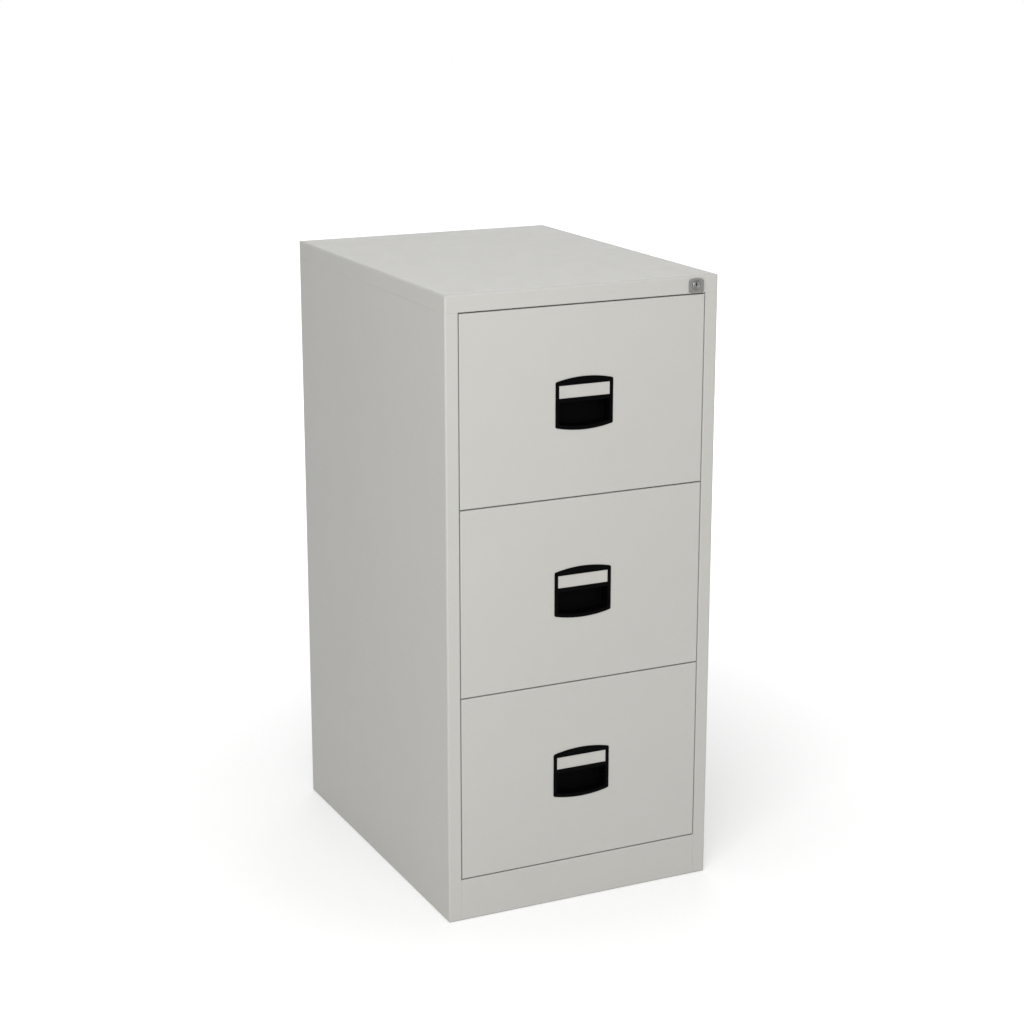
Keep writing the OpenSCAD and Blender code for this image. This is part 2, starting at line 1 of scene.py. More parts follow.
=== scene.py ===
import math
import bpy
import numpy as np
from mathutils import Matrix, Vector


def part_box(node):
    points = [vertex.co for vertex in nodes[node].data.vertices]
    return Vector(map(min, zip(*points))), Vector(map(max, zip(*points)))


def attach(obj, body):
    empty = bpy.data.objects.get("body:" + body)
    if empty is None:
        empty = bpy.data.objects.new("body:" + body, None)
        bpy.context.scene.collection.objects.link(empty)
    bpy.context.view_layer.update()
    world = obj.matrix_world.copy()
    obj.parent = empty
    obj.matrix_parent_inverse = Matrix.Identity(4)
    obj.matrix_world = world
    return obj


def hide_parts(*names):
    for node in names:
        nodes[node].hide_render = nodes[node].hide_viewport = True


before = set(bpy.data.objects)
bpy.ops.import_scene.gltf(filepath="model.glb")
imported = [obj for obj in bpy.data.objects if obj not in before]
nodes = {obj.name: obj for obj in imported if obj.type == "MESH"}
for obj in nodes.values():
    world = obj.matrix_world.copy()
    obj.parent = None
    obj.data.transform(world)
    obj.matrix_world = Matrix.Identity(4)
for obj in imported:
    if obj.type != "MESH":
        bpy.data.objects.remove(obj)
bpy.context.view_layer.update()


# ---------------------------------------------------------------- carcass
# The outer case: top, two sides, plinth, back and floor pan, folded from sheet steel and spot
# welded. The whole welded case is powder coated in one light warm grey, inside and out.


def add(tree, kind, inputs=(), **settings):
    """Adds a node, sets its settings, and fills its inputs with values or other nodes' outputs."""
    node = tree.nodes.new(kind)
    for name, value in settings.items():
        setattr(node, name, value)
    for name, value in dict(inputs).items():
        if isinstance(value, bpy.types.NodeSocket):
            tree.links.new(value, node.inputs[name])
        else:
            node.inputs[name].default_value = value
    return node


def math_node(tree, operation, a, b=0.0):
    """One Math node; returns its output."""
    return add(tree, "ShaderNodeMath", {0: a, 1: b}, operation=operation).outputs[0]


def spread(tree, value, to_min, to_max, from_min=0.0, from_max=1.0):
    """Maps one stretch of a value in a straight line to another, and holds it at the ends."""
    return add(tree, "ShaderNodeMapRange",
               {"Value": value, "From Min": from_min, "From Max": from_max,
                "To Min": to_min, "To Max": to_max}).outputs["Result"]


def noise(tree, where, rate, detail, rough=0.5):
    """Soft noise of so many cells to the metre."""
    sizes = {"Vector": where, "Scale": rate, "Detail": detail, "Roughness": rough}
    return add(tree, "ShaderNodeTexNoise", sizes).outputs["Fac"]


def relief(tree, height, strength, depth, normal=None):
    """A bump from a height, over a normal if one is given; returns the new normal."""
    node = add(tree, "ShaderNodeBump", {"Height": height, "Strength": strength, "Distance": depth})
    if normal is not None:
        tree.links.new(normal, node.inputs["Normal"])
    return node.outputs["Normal"]


def new_group(name, inputs, outputs):
    """An empty node group whose inputs and outputs are name: (socket type, default)."""
    group = bpy.data.node_groups.new(name, "ShaderNodeTree")
    for direction, sockets in (("INPUT", inputs), ("OUTPUT", outputs)):
        for socket_name, (kind, default) in sockets.items():
            socket = group.interface.new_socket(
                socket_name, in_out=direction, socket_type="NodeSocket" + kind)
            if default is not None:
                socket.default_value = default
    return group, group.nodes.new("NodeGroupInput").outputs, group.nodes.new("NodeGroupOutput")


def finish_group(group, end, **results):
    """Joins sockets to the group's outputs by name."""
    for name, socket in results.items():
        group.links.new(socket, end.inputs[name])
    return group


def build_peel():
    """Orange peel of a sprayed coat: broad soft cells of the given size, and finer ones."""
    group, start, end = new_group(
        "orange_peel", {"Vector": ("Vector", None), "Size": ("Float", 0.002)},
        {"Height": ("Float", None)})
    finer, fine_share = 3.3, 0.4
    rate = math_node(group, "DIVIDE", 1.0, start["Size"])
    broad = noise(group, start["Vector"], rate, 1.5)
    fine = noise(group, start["Vector"], math_node(group, "MULTIPLY", rate, finer), 1.0)
    fine = math_node(group, "MULTIPLY", fine, fine_share)
    return finish_group(group, end, Height=math_node(group, "ADD", broad, fine))


def build_clouds():
    """Slow mottling, 0 to 1, over a stretch of the given size: noise with its middle spread out."""
    group, start, end = new_group(
        "clouds", {"Vector": ("Vector", None), "Size": ("Float", 0.1)}, {"Cloud": ("Float", None)})
    rate = math_node(group, "DIVIDE", 1.0, start["Size"])
    mottle = noise(group, start["Vector"], rate, 4.0, 0.6)
    return finish_group(group, end, Cloud=spread(group, mottle, 0.0, 1.0, 0.32, 0.68))


def build_edges():
    """How near a point is to a sharp edge: a normal rounded over the radius leans from the true one
    there. The lean is broken up by patches, as wear is."""
    group, start, end = new_group(
        "worn_edges", {"Radius": ("Float", 0.001), "Vector": ("Vector", None)},
        {"Edge": ("Float", None), "Normal": ("Vector", None)})
    slight_lean, full_lean, patches = 0.995, 0.80, 130.0
    rounded = add(group, "ShaderNodeBevel", {"Radius": start["Radius"]}, samples=4).outputs[0]
    true_normal = add(group, "ShaderNodeNewGeometry").outputs["Normal"]
    lean = add(group, "ShaderNodeVectorMath", {0: rounded, 1: true_normal},
               operation="DOT_PRODUCT").outputs["Value"]
    mask = spread(group, lean, 0.0, 1.0, slight_lean, full_lean)
    patchy = noise(group, start["Vector"], patches, 3.0)
    return finish_group(group, end, Edge=math_node(group, "MULTIPLY", mask, patchy), Normal=rounded)


def build_welds():
    """A row of spot welds on a line, a pitch apart. The height goes by the distance to the nearest
    weld's middle: a shallow dish with a soft raised rim."""
    group, start, end = new_group(
        "weld_row",
        {"Along": ("Float", 0.0), "Across": ("Float", 0.0), "Pitch": ("Float", 0.08)},
        {"Height": ("Float", None)})
    dish, dish_edge, rim_edge, rim_height = 0.0022, 0.0030, 0.0042, 0.35
    turn = math_node(group, "DIVIDE", start["Along"], start["Pitch"])
    from_middle = math_node(group, "SUBTRACT", math_node(group, "FRACT", turn), 0.5)
    along = math_node(group, "MULTIPLY", from_middle, start["Pitch"])
    square = math_node(group, "MULTIPLY", along, along)
    squares = add(group, "ShaderNodeMath", {0: start["Across"], 1: start["Across"], 2: square},
                  operation="MULTIPLY_ADD").outputs[0]
    far = math_node(group, "SQRT", squares)
    bowl = spread(group, far, 0.0, 1.0, dish, dish_edge)
    rim = spread(group, far, rim_height, 0.0, dish_edge, rim_edge)
    return finish_group(group, end, Height=math_node(group, "ADD", bowl, rim))


orange_peel, clouds, worn_edges, weld_row = (
    build_peel(), build_clouds(), build_edges(), build_welds())


def place(tree, group, **inputs):
    """Places a node group in a material, with its inputs by name; returns its outputs."""
    return add(tree, "ShaderNodeGroup", inputs, node_tree=group).outputs


def new_material(name):
    """A material, its nodes, its shader, and the object coordinates that patterns read."""
    material = bpy.data.materials.new(name)
    material.use_nodes = True
    tree = material.node_tree
    shader = tree.nodes["Principled BSDF"]
    return material, tree, shader, tree.nodes.new("ShaderNodeTexCoord").outputs["Object"]


def wire(tree, shader, **outputs):
    """Joins outputs to the shader's inputs by name, with _ for a space."""
    for name, output in outputs.items():
        tree.links.new(output, shader.inputs[name.replace("_", " ")])


def mix(tree, factor, a, b):
    """A colour mix; a and b are colours or sockets. The node's colour sockets are its inputs 6
    and 7, and its output 2."""
    node = add(tree, "ShaderNodeMix", data_type="RGBA")
    for index, value in ((0, factor), (6, a), (7, b)):
        if isinstance(value, bpy.types.NodeSocket):
            tree.links.new(value, node.inputs[index])
        else:
            node.inputs[index].default_value = value if index == 0 else (*value, 1.0)
    return node.outputs[2]


def powder_coat(name, colour, welds=None):
    """Satin powder coat: faint mottling in tint and gloss, orange peel, and edges rubbed paler."""
    material, tree, shader, where = new_material(name)
    peel_depth, weld_depth, edge_share = 0.00005, 0.00035, 0.55
    cloud = place(tree, clouds, Vector=where, Size=0.16)["Cloud"]
    hands = place(tree, clouds, Vector=where, Size=0.035)["Cloud"]
    edges = place(tree, worn_edges, Radius=0.0010, Vector=where)
    light, dark = (tuple(c * k for c in colour) for k in (1.008, 0.992))
    worn = tuple(min(c * 1.10, 0.9) for c in colour)
    edge = math_node(tree, "MULTIPLY", edges["Edge"], edge_share)
    height = place(tree, orange_peel, Vector=where, Size=0.0019)["Height"]
    normal = relief(tree, height, 1.0, peel_depth, edges["Normal"])
    if welds is not None:
        normal = relief(tree, welds(tree, where), 1.0, weld_depth, normal)
    wire(tree, shader, Base_Color=mix(tree, edge, mix(tree, cloud, dark, light), worn),
         Roughness=spread(tree, hands, 0.50, 0.57), Normal=normal)
    shader.inputs["Specular IOR Level"].default_value = 0.25
    return material


def paint(material, *names):
    """Gives CAD nodes a material."""
    for name in names:
        nodes[name].data.materials.clear()
        nodes[name].data.materials.append(material)


WARM_GREY = (0.535, 0.530, 0.502)
WELD_INSET = 0.011         # from a side's outer face to its line of welds
WELD_PITCH = 0.078
REAR_FACE = 0.0006         # the marks show on what lies this close to the rear face
side_low, side_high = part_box("side_panel_right")


def rear_flange_welds(tree, where):
    """Spot welds down the rear flange of a side panel, where the back panel is lapped inside it."""
    xyz = add(tree, "ShaderNodeSeparateXYZ", {"Vector": where}).outputs
    outwards = math_node(tree, "ABSOLUTE", xyz["X"])
    across = math_node(tree, "SUBTRACT", outwards, side_high.x - WELD_INSET)
    on_rear = math_node(tree, "GREATER_THAN", xyz["Y"], side_high.y - REAR_FACE)
    row = place(tree, weld_row, Along=xyz["Z"], Across=across, Pitch=WELD_PITCH)["Height"]
    return math_node(tree, "MULTIPLY", row, on_rear)


case_coat = powder_coat("case_powder_coat", WARM_GREY)
side_coat = powder_coat("side_powder_coat", WARM_GREY, rear_flange_welds)
paint(case_coat, "top_panel", "plinth", "floor_pan", "back_panel")
paint(side_coat, "side_panel_left", "side_panel_right")


# ---------------------------------------------------------------- uprights, feet
# Four slotted channels, spot welded inside the sides and coated with the case, carry the runners.
# Under each corner a black moulded foot screws into a nut on the floor pan, here wound right in.

def build_lines():
    """Rolling lines of strip steel: fine noise, drawn out along the axis that is squeezed."""
    group, start, end = new_group(
        "rolled_lines", {"Vector": ("Vector", None), "Squeeze": ("Vector", (1.0, 0.03, 1.0))},
        {"Lines": ("Float", None)})
    drawn = add(group, "ShaderNodeMapping",
                {"Vector": start["Vector"], "Scale": start["Squeeze"]}).outputs["Vector"]
    return finish_group(group, end, Lines=noise(group, drawn, 1500.0, 3.0))


def build_grain():
    """Grain etched into a moulding tool: the distance to the nearest of many scattered points."""
    group, start, end = new_group(
        "etched_grain", {"Vector": ("Vector", None), "Rate": ("Float", 3000.0)},
        {"Height": ("Float", None)})
    cells = add(group, "ShaderNodeTexVoronoi",
                {"Vector": start["Vector"], "Scale": start["Rate"], "Randomness": 1.0})
    return finish_group(group, end, Height=cells.outputs["Distance"])


rolled_lines, etched_grain = build_lines(), build_grain()


def zinc_plate(name, along):
    """Bright zinc on rolled steel: cool metal, fine rolling lines and soft cloudy passivation."""
    material, tree, shader, where = new_material(name)
    squeeze = {"X": (0.03, 1, 1), "Y": (1, 0.03, 1), "Z": (1, 1, 0.03)}[along]
    lines = place(tree, rolled_lines, Vector=where, Squeeze=squeeze)["Lines"]
    cloud = place(tree, clouds, Vector=where, Size=0.014)["Cloud"]
    edges = place(tree, worn_edges, Radius=0.0005, Vector=where)
    tint = mix(tree, cloud, (0.56, 0.575, 0.595), (0.625, 0.635, 0.645))
    wire(tree, shader, Base_Color=mix(tree, edges["Edge"], tint, (0.80, 0.81, 0.82)),
         Roughness=spread(tree, cloud, 0.33, 0.41),
         Normal=relief(tree, lines, 0.6, 0.00003, edges["Normal"]))
    shader.inputs["Metallic"].default_value = 1.0
    return material


def moulded_plastic(name, colour, rough, sheen=0.35):
    """Injection-moulded plastic: grain from the tool, slightly polished where hands rub it."""
    material, tree, shader, where = new_material(name)
    grain, grain_depth, rough_either_way = 0.00035, 0.00002, 0.06
    height = place(tree, etched_grain, Vector=where, Rate=1 / grain)["Height"]
    cloud = place(tree, clouds, Vector=where, Size=0.02)["Cloud"]
    edge = place(tree, worn_edges, Radius=0.0008, Vector=where)["Edge"]
    worn = tuple(min(c * 1.8 + 0.002, 0.85) for c in colour)
    wire(tree, shader, Base_Color=mix(tree, edge, colour, worn),
         Roughness=spread(tree, cloud, rough - rough_either_way, rough + rough_either_way),
         Normal=relief(tree, height, 1.0, grain_depth))
    shader.inputs["Specular IOR Level"].default_value = sheen
    return material


paint(case_coat, "upright_front_left", "upright_front_right",
      "upright_rear_left", "upright_rear_right")
paint(moulded_plastic("foot_black", (0.018, 0.018, 0.018), 0.55), "levelling_feet")
small_zinc = zinc_plate("zinc_fittings", "X")
paint(small_zinc, "foot_nuts")


# ---------------------------------------------------------------- runners
# Telescopic ball runners of zinc-plated strip, folded so that the edges make tracks for the balls.
# The outer members hook into the uprights, and the inner ones are screwed to the drawer sides.

DRAWERS = ("top", "middle", "bottom")
runner_zinc = zinc_plate("zinc_runners", "Y")
cage_zinc = zinc_plate("zinc_cages", "Y")
for drawer in DRAWERS:
    for part in ("cabinet_members", "runner_hooks", "middle_members", "drawer_members"):
        paint(runner_zinc, f"{part}_{drawer}")
    for part in ("outer_ball_cages", "inner_ball_cages"):
        paint(cage_zinc, f"{part}_{drawer}")
    paint(small_zinc, f"member_screws_{drawer}", f"lock_catch_{drawer}")


# ---------------------------------------------------------------- drawers
# A double-skin front, a body folded from one sheet with a hanging rail along each side, and a back
# plate. They are spot welded and coated like the case.

drawer_coat = powder_coat("drawer_powder_coat", WARM_GREY)
for drawer in DRAWERS:
    for part in ("drawer_front", "drawer_liner", "drawer_body", "drawer_back"):
        paint(drawer_coat, f"{part}_{drawer}")


# ---------------------------------------------------------------- handles
# One black moulding for each drawer, clipped into the front: a bowed plate round a finger pocket.
# Across the pocket's upper half runs the label panel, which the fingers pull on from behind.

BOW = 0.0063               # rise of the plate's top edge in the middle
CORNER = 0.003
LEAST_CORNER = 0.0008
RIM = 0.006                # from the plate's edge to the pocket's mouth
PLATE_EDGE = 0.0008        # rounding of the plate's edge
PLATE_LIFT = 0.0002        # the plate's edge starts this far in front of the drawer's skin
PLATE_DIP = 0.0006         # its back dips this far behind the skin, beside the pocket
MOUTH_EDGE = 0.0005        # rounding of the pocket's mouth
POCKET_ROUND = 0.0015
POCKET_FLOOR = 0.002       # thickness of the pocket's floor
WALL = 0.001
DRAFT = 0.0008             # how far the pocket narrows towards its floor
WINDOW_HALF = 0.010        # half the height of the label window
WINDOW_RISE = 0.0198       # height of the window's middle above the handle's middle
WINDOW_EDGE = 0.0004       # chamfer round the window
CARD_BACK = -0.0001        # the window's floor, just in front of the drawer's skin
PANEL_FOOT = 0.003         # the label panel's lower edge above the handle's middle
PANEL_EDGE = 0.0008        # rounding of that edge
PANEL_BACK = 0.0025
PANEL_TUCK = 0.0005        # the panel's top runs up this far into the rim
PANEL_TOP_EDGE = 0.0003
LIP_BACK = 0.008           # how far back the finger lip reaches
LIP_ROUND = 0.001          # half the lip's thickness
LIP_FILLET = 0.002         # between the lip and the panel's back
INTO_WALL = 0.6            # share of the pocket's wall that the panel's ends reach into


def closed_mesh(name, parts):
    """One object from closed shells, each given as points and faces; one inside out is turned."""
    points, faces, count = [], [], 0
    for shell_points, shell_faces in parts:
        shell_points = np.asarray(shell_points, float).reshape(-1, 3)
        fans = [(f[0], f[k], f[k + 1]) for f in shell_faces for k in range(1, len(f) - 1)]
        a, b, c = (shell_points[[fan[k] for fan in fans]] for k in range(3))
        volume = np.einsum("ij,ij->i", a, np.cross(b, c)).sum()
        turned = [tuple(reversed(f)) if volume < 0 else tuple(f) for f in shell_faces]
        faces += [tuple(i + count for i in f) for f in turned]
        points.append(shell_points)
        count += len(shell_points)
    mesh = bpy.data.meshes.new(name)
    mesh.from_pydata(np.concatenate(points).tolist(), [], faces)
    mesh.shade_smooth()
    mesh.set_sharp_from_angle(angle=math.radians(35.0))
    piece = bpy.data.objects.new(name, mesh)
    bpy.context.scene.collection.objects.link(piece)
    return piece


def rings_shell(rings, closed=False):
    """Faces between loops of points, given as (rings, points, 3): each point joins the next in its
    loop and the same one in the next loop. The ends are capped, or joined if closed."""
    rings = np.asarray(rings, float)
    total, around = rings.shape[:2]
    index = np.arange(total * around).reshape(total, around)
    lower, upper = (index, np.roll(index, -1, 0)) if closed else (index[:-1], index[1:])
    quads = np.stack([lower, np.roll(lower, -1, 1), np.roll(upper, -1, 1), upper], -1)
    caps = [] if closed else [index[0][::-1].tolist(), index[-1].tolist()]
    return rings.reshape(-1, 3), quads.reshape(-1, 4).tolist() + caps


def arc_points(x, z, radius, start, stop, count):
    """Points along an arc round (x, z), from angle start to angle stop."""
    angle = np.linspace(start, stop, count)
    return np.stack([x + radius * np.cos(angle), z + radius * np.sin(angle)], -1)


def bowed_outline(half_w, half_h, inset):
    """A plate with straight sides and bowed top and foot. The bow's circle passes through the
    middle of the top edge. A corner's circle touches both the bow and the side, so its middle is
    as far from the bow's middle as their radii differ. The lower half is the upper, turned."""
    radius = (half_w ** 2 + BOW ** 2) / (2 * BOW) - inset
    middle = half_h - inset - radius
    corner = max(CORNER - inset, LEAST_CORNER)
    corner_x = half_w - inset - corner
    corner_z = middle + math.sqrt((radius - corner) ** 2 - corner_x ** 2)
    turn = math.atan2(corner_z - middle, corner_x)
    corner_points, bow_points = 9, 39
    step = (math.pi - 2 * turn) / (bow_points + 1)
    upper = np.concatenate([
        arc_points(corner_x, corner_z, corner, 0, turn, corner_points),
        arc_points(0, middle, radius, turn + step, math.pi - turn - step, bow_points),
        arc_points(-corner_x, corner_z, corner, math.pi - turn, math.pi, corner_points)])
    return np.concatenate([upper, -upper])


def fillet(inset, y, radius, start, stop):
    """Five points of a rounded edge in (inset, y), round the given middle."""
    return arc_points(inset, y, radius, math.radians(start), math.radians(stop), 5).tolist()


def handle_shell(low, high, skin):
    """The plate and pocket: a profile of (inset, depth) is carried round the bowed outline, which
    shrinks by the inset, and capped at both floors."""
    front, floor = low.y - skin, high.y - skin
    wall, mouth = RIM - WALL, RIM + DRAFT
    inner_floor = floor - POCKET_FLOOR
    profile = (
        fillet(wall + POCKET_ROUND, floor - POCKET_ROUND, POCKET_ROUND, 90, 180)
        + [[wall, PLATE_DIP], [PLATE_DIP, 0.0], [0.0, -PLATE_LIFT]]
        + fillet(PLATE_EDGE, front + PLATE_EDGE, PLATE_EDGE, 180, 270)
        + fillet(RIM - MOUTH_EDGE, front + MOUTH_EDGE, MOUTH_EDGE, 270, 360)
        + [[mouth, inner_floor - POCKET_ROUND]]
        + fillet(mouth + POCKET_ROUND, inner_floor - POCKET_ROUND, POCKET_ROUND, 180, 90)[1:])
    middle, half = (low + high) / 2, (high - low) / 2
    rings = []
    for inset, depth in profile:
        flat = bowed_outline(half.x, half.z, inset)
        across, upwards = flat[:, 0] + middle.x, flat[:, 1] + middle.z
        rings.append(np.stack([across, np.full(len(flat), depth + skin), upwards], -1))
    return rings_shell(rings)


def label_panel(low, high, skin):
    """The panel: one upright section of (depth, height) is carried across the handle. Its top
    points add the height of the plate's bow there: the bow's middle plus the root of the radius
    squared less the distance across squared. The ends lie inside the pocket's walls."""
    front = low.y - skin
    middle, half = (low + high) / 2, (high - low) / 2
    low_edge, high_edge = WINDOW_RISE - WINDOW_HALF, WINDOW_RISE + WINDOW_HALF
    fillet_z = PANEL_FOOT + 2 * LIP_ROUND + LIP_FILLET
    quarter = math.pi / 2
    body = (
        arc_points(front + PANEL_EDGE, PANEL_FOOT + PANEL_EDGE, PANEL_EDGE,
                   3 * quarter, 2 * quarter, 5).tolist()
        + [[front, low_edge - WINDOW_EDGE], [front + WINDOW_EDGE, low_edge], [CARD_BACK, low_edge]]
        + [[CARD_BACK, high_edge], [front + WINDOW_EDGE, high_edge]]
        + [[front, high_edge + WINDOW_EDGE]])
    top = [[front, -PANEL_TOP_EDGE], [front + PANEL_TOP_EDGE, 0.0],
           [front + WINDOW_EDGE, PANEL_TUCK], [PANEL_BACK, PANEL_TUCK]]
    back = (
        [[PANEL_BACK, fillet_z]]
        + arc_points(PANEL_BACK + LIP_FILLET, fillet_z, LIP_FILLET,
                     2 * quarter, 3 * quarter, 5).tolist()
        + arc_points(LIP_BACK - LIP_ROUND, PANEL_FOOT + LIP_ROUND, LIP_ROUND,
                     quarter, -quarter, 7).tolist())
    section = np.array(body + top + back)
    follows = np.array([0.0] * len(body) + [1.0] * len(top) + [0.0] * len(back))
    radius = (half.x ** 2 + BOW ** 2) / (2 * BOW)
    across = np.linspace(-1, 1, 61) * (half.x - RIM + WALL * INTO_WALL)
    bow = half.z - RIM - radius + np.sqrt(radius ** 2 - across ** 2)
    heights = middle.z + section[None, :, 1] + follows[None, :] * bow[:, None]
    shape = heights.shape
    rings = np.stack([np.broadcast_to(across[:, None] + middle.x, shape),
                      np.broadcast_to(section[None, :, 0] + skin, shape), heights], -1)
    return rings_shell(rings)


def card_paper():
    """Pale card under a clear film: faint fibres in the paper, and a smooth coat over it."""
    material, tree, shader, where = new_material("label_card_paper")
    drawn = add(tree, "ShaderNodeMapping", {"Vector": where, "Scale": (0.25, 1, 1)})
    fibres = noise(tree, drawn.outputs["Vector"], 2600.0, 4.0)
    cloud = place(tree, clouds, Vector=where, Size=0.03)["Cloud"]
    shade = math_node(tree, "MULTIPLY", math_node(tree, "ADD", fibres, cloud), 0.5)
    wire(tree, shader, Base_Color=mix(tree, shade, (0.50, 0.49, 0.455), (0.545, 0.535, 0.50)),
         Roughness=spread(tree, fibres, 0.55, 0.75), Normal=relief(tree, fibres, 0.5, 0.00001))
    shader.inputs["Coat Weight"].default_value = 0.25
    shader.inputs["Coat Roughness"].default_value = 0.18
    return material


black_plastic = moulded_plastic("handle_black", (0.0010, 0.0010, 0.0011), 0.50, sheen=0.045)
paper = card_paper()
for drawer in DRAWERS:
    low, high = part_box(f"handle_{drawer}")
    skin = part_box(f"drawer_front_{drawer}")[0].y
    handle = closed_mesh(f"moulded_handle_{drawer}",
                         [handle_shell(low, high, skin), label_panel(low, high, skin)])
    handle.data.materials.append(black_plastic)
    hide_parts(f"handle_{drawer}")
    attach(handle, f"drawer_{drawer}")
    paint(paper, f"label_card_{drawer}")


# ---------------------------------------------------------------- lock
# A cam lock at the right of the top rail: a grey die-cast plate with a threaded body, held by a
# ring nut, and a nickel-plated barrel that turns in it. Behind it a cam lifts the lock bar.

lock_low, lock_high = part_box("lock_housing")
plug_low, plug_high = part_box("lock_barrel")
LOCK_X = (plug_low.x + plug_high.x) / 2
LOCK_Z = (plug_low.z + plug_high.z) / 2
LOCK_BOW = 0.0026          # rise of the lock plate's top edge in the middle
LOCK_EDGE = 0.0008         # rounding of the lock plate's edge
BREAK = 0.0003             # small broken edges of the bore and seat, and depth of the thread
BORE = 0.00655             # radius of the bore that the barrel turns in
SEAT = 0.0084              # radius of the sunk ring round the barrel
THREAD = 0.0093            # radius of the threaded body
THREAD_PITCH = 0.001
AROUND = 96                # points in each loop of the lock


def around_circle(radius):
    """AROUND points on a circle, from the +X side, anticlockwise."""
    return arc_points(0.0, 0.0, radius, 0, 2 * math.pi * (1 - 1 / AROUND), AROUND)


def around_plate(inset):
    """The plate's outline at the same angles: the nearest crossing of a ray with its sides, foot
    and bowed top, softened by a smooth minimum so that the corners are round."""
    half_w = (lock_high.x - lock_low.x) / 2 - inset
    half_h = (lock_high.z - lock_low.z) / 2 - inset
    angle = 2 * math.pi * np.arange(AROUND) / AROUND
    c, s = np.cos(angle), np.sin(angle)
    radius = (half_w ** 2 + LOCK_BOW ** 2) / (2 * LOCK_BOW)
    middle = half_h - radius
    tiny, far, sharp = 1e-6, 1.0, 14.0
    side = half_w / np.maximum(np.abs(c), tiny)
    foot = half_h / np.maximum(-s, tiny)
    b = s * middle
    top = np.where(s > 0, b + np.sqrt(b ** 2 - middle ** 2 + radius ** 2), far)
    reach = (side ** -sharp + foot ** -sharp + top ** -sharp) ** (-1 / sharp)
    return np.stack([reach * c, reach * s], -1)


def lock_ring(flat, y):
    """A loop in the plane y, centred on the lock."""
    return np.stack([flat[:, 0] + LOCK_X, np.full(len(flat), y), flat[:, 1] + LOCK_Z], -1)


def circles(*sizes):
    """Round loops, each given as (radius, y)."""
    return [lock_ring(around_circle(radius), y) for radius, y in sizes]


def grow(inner, outer, y):
    """Two flat loops at y: halfway from one outline to the other, and the outer one."""
    return [lock_ring((inner + outer) / 2, y), lock_ring(outer, y)]


def plug_seat():
    """Housing: the profile runs forward up the bore, out over the face, round the plate, and back
    down the thread, where each pitch has one loop at the crest and one at the root."""
    face, back, rail = lock_low.y, lock_high.y, side_low.y
    sunk, sunk_bore, sunk_edge = face + 0.0014, face + 0.0016, face + 0.0010
    shift = np.array([0.0, (lock_high.z + lock_low.z) / 2 - LOCK_Z])
    rings = circles((BORE, back), (BORE, sunk_bore), (BORE + BREAK, sunk), (SEAT - BREAK, sunk),
                    (SEAT, sunk_edge), (SEAT, face + BREAK), (SEAT + BREAK, face))
    rings += grow(around_circle(SEAT + BREAK), around_plate(LOCK_EDGE) + shift, face)
    for inset, depth in fillet(LOCK_EDGE, LOCK_EDGE, LOCK_EDGE, 270, 180)[1:]:
        rings.append(lock_ring(around_plate(inset) + shift, face + depth))
    rings.append(lock_ring(around_plate(0.0) + shift, rail))
    rings += circles((THREAD, rail))
    run_in, run_out = 0.0012, 0.0006
    turns = np.arange(rail + run_in, back - run_out, THREAD_PITCH / 2)
    rings += circles(*((THREAD - BREAK * (k % 2), y) for k, y in enumerate(turns)))
    rings += circles((THREAD - 2 * BREAK, back))
    return rings_shell(rings, closed=True)


def key_slot(half_w, half_h, rise):
    """The slot's outline at the same angles: a tall box with its corners softened, where the tenth
    powers of the two shares of its half sizes add up to one."""
    angle = 2 * math.pi * np.arange(AROUND) / AROUND
    c, s = np.abs(np.cos(angle)), np.abs(np.sin(angle))
    sharp = 10.0
    reach = ((c / half_w) ** sharp + (s / half_h) ** sharp) ** (-1 / sharp)
    return np.stack([reach * np.cos(angle), reach * np.sin(angle) + rise], -1)


def plug():
    """Barrel: the profile runs out over the back cap, forward up the side, over a chamfer, in over
    a shallow dish round the key slot, and back down the slot's own walls to its floor."""
    face, back = plug_low.y, plug_high.y
    radius = (plug_high.x - plug_low.x) / 2
    cap_middle = 0.0015
    chamfer, dish, dish_edge, dish_depth = 0.0005, 0.0017, 0.0014, 0.0003
    mouth, slot_floor = face + 0.0008, face + 0.014
    slot = key_slot(half_w=0.0009, half_h=0.00345, rise=0.00205)
    slot_mouth = key_slot(half_w=0.0013, half_h=0.0039, rise=0.00205)
    rings = circles((cap_middle, back), (radius, back), (radius, face + chamfer),
                    (radius - chamfer, face), (radius - dish_edge, face),
                    (radius - dish, face + dish_depth))
    rings += grow(around_circle(radius - dish), slot_mouth, face + dish_depth)
    rings += [lock_ring(slot, mouth), lock_ring(slot, slot_floor)]
    return rings_shell(rings)


def build_turning():
    """Turning marks: fine rings of noise about an axis along Y, by the distance from that axis."""
    group, start, end = new_group(
        "turning_marks", {"Vector": ("Vector", None), "Middle": ("Vector", None)},
        {"Marks": ("Float", None)})
    rings_per_metre = 9000.0
    centred = add(group, "ShaderNodeVectorMath", {0: start["Vector"], 1: start["Middle"]},
                  operation="SUBTRACT").outputs[0]
    xyz = add(group, "ShaderNodeSeparateXYZ", {"Vector": centred}).outputs
    x_square, z_square = (
        math_node(group, "POWER", math_node(group, "ABSOLUTE", xyz[axis]), 2.0) for axis in "XZ")
    out = math_node(group, "SQRT", math_node(group, "ADD", x_square, z_square))
    marks = add(group, "ShaderNodeTexNoise",
                {"W": math_node(group, "MULTIPLY", out, rings_per_metre), "Scale": 1.0,
                 "Detail": 2.0}, noise_dimensions="1D")
    return finish_group(group, end, Marks=marks.outputs["Fac"])


turning_marks = build_turning()


